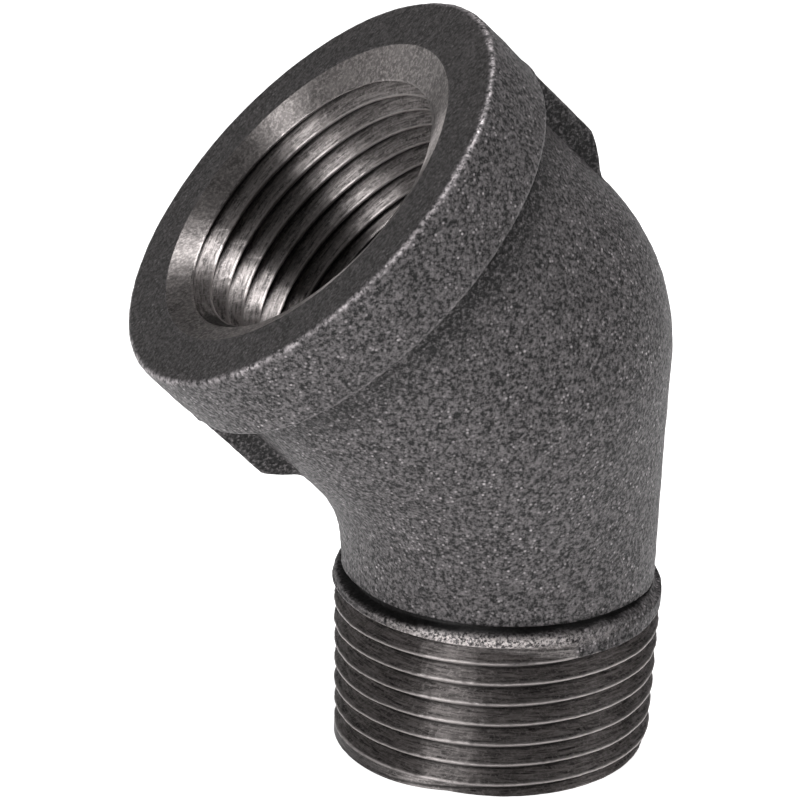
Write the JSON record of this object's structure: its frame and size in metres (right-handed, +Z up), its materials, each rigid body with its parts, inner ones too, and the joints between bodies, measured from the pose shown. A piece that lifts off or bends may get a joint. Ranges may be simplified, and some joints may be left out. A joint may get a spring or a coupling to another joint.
{
  "type": "threaded pipe street elbow",
  "caption": "Forty-five degree street elbow in black malleable iron: a banded socket with an internal taper thread and a spigot with an external taper thread.",
  "frame": {"origin": "centre of the spigot's end face, on the spigot's axis; the fitting stands on this face", "axes": "+Z up the spigot's axis; the bend lies in the XZ plane and the socket opens up and towards -X at 45 degrees; Y is across the bend"},
  "size_m": [0.0443, 0.0378, 0.0622],
  "materials": {
    "cast_skin": "rough, as-cast black iron with an oxide skin and fine sparkle",
    "machined_mouth": "turned, satin",
    "cut_thread": "cut thread, bare metal at the crests and dark oil in the grooves"
  },
  "bodies": {
    "root": {"bend_body": "cast_skin", "socket_wall": "cast_skin", "socket_band": "cast_skin", "mouth_ring": "machined_mouth", "female_thread": "cut_thread", "male_thread": "cut_thread", "runout_collar": "cast_skin", "heel_rib": "cast_skin", "throat_rib": "cast_skin"}
  },
  "joints": []
}
